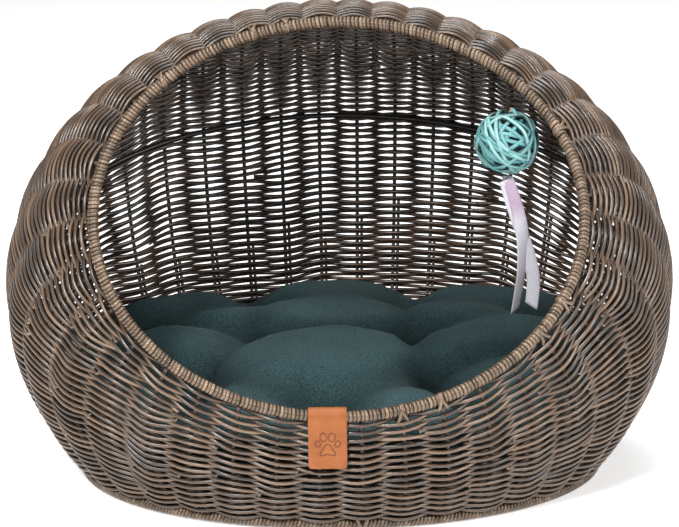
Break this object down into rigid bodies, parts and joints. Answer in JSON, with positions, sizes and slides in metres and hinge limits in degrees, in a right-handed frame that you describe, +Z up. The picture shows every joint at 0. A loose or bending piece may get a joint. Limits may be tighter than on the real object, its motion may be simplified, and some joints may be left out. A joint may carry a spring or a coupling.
{
  "type": "pet bed basket",
  "caption": "Egg-shaped woven pet bed on an oval base ring, with a large slanted mouth in a wrapped rim, a tufted cushion and a hanging ball toy with ribbons.",
  "frame": {"origin": "on the surface that the basket stands on, under the middle of the woven egg", "axes": "+Z up, +X to the right of somebody who looks in at the mouth, the mouth faces -Y"},
  "size_m": [0.498, 0.3633, 0.3555],
  "materials": {
    "wicker_strand": "satin",
    "frame_wire": "satin",
    "label_leather": "satin",
    "cushion_fleece": "matte",
    "cushion_fill": "matte",
    "tuft_thread": "matte",
    "toy_thread": "matte",
    "toy_rattan": "satin",
    "ribbon_satin": "satin"
  },
  "bodies": {
    "basket": {"base_ring_core": "frame_wire", "base_ring_wrap": "wicker_strand", "rim_core": "frame_wire", "rim_wrap": "wicker_strand", "back_arch": "frame_wire", "floor_bars": "frame_wire", "floor_weave": "wicker_strand", "leather_label": "label_leather", "front_band_weave": "wicker_strand", "left_side_weave": "wicker_strand", "right_side_weave": "wicker_strand", "back_wall_weave": "wicker_strand", "roof_weave": "wicker_strand", "stake_01": "wicker_strand", "stake_02": "wicker_strand", "stake_03": "wicker_strand", "stake_04": "wicker_strand", "stake_05": "wicker_strand", "stake_06": "wicker_strand", "stake_07": "wicker_strand", "stake_08": "wicker_strand", "stake_09": "wicker_strand", "stake_10": "wicker_strand", "stake_11": "wicker_strand", "stake_12": "wicker_strand", "stake_13": "wicker_strand", "stake_14": "wicker_strand", "stake_15": "wicker_strand", "stake_16": "wicker_strand", "stake_17": "wicker_strand", "stake_18": "wicker_strand", "stake_19": "wicker_strand", "stake_20": "wicker_strand", "stake_21": "wicker_strand", "stake_22": "wicker_strand", "stake_23": "wicker_strand", "stake_24": "wicker_strand", "stake_25": "wicker_strand", "stake_26": "wicker_strand", "stake_27": "wicker_strand", "stake_28": "wicker_strand", "stake_29": "wicker_strand", "stake_30": "wicker_strand", "stake_31": "wicker_strand", "stake_32": "wicker_strand", "stake_33": "wicker_strand", "stake_34": "wicker_strand", "stake_35": "wicker_strand", "stake_36": "wicker_strand", "stake_37": "wicker_strand", "stake_38": "wicker_strand"},
    "cushion": {"cushion_cover": "cushion_fleece", "cushion_filling": "cushion_fill", "cushion_tuft_ties": "tuft_thread"},
    "toy_hanger": {"toy_hanger_knot": "toy_thread"},
    "toy_ball": {"toy_cord": "toy_thread", "toy_ball": "toy_rattan"},
    "ribbon_knot": {"ribbon_knot": "ribbon_satin"},
    "ribbon_tails": {"ribbon_tail_left": "ribbon_satin", "ribbon_tail_right": "ribbon_satin"}
  },
  "joints": [
    {"name": "cushion_lift", "type": "slide", "parent": "basket", "child": "cushion", "axis": [0, 0, 1], "range_m": [0, 0.03]},
    {"name": "toy_swing_fore", "type": "hinge", "parent": "basket", "child": "toy_hanger", "pos_m": [0.1215, -0.052, 0.305], "axis": [1, 0, 0], "range_deg": [-8, 15]},
    {"name": "toy_swing_side", "type": "hinge", "parent": "toy_hanger", "child": "toy_ball", "pos_m": [0.1215, -0.052, 0.305], "axis": [0, 1, 0], "range_deg": [-8, 12]},
    {"name": "ribbon_swing_fore", "type": "hinge", "parent": "toy_ball", "child": "ribbon_knot", "pos_m": [0.1215, -0.052, 0.238], "axis": [1, 0, 0], "range_deg": [-10, 10]},
    {"name": "ribbon_swing_side", "type": "hinge", "parent": "ribbon_knot", "child": "ribbon_tails", "pos_m": [0.1215, -0.052, 0.238], "axis": [0, 1, 0], "range_deg": [-6, 12]}
  ]
}
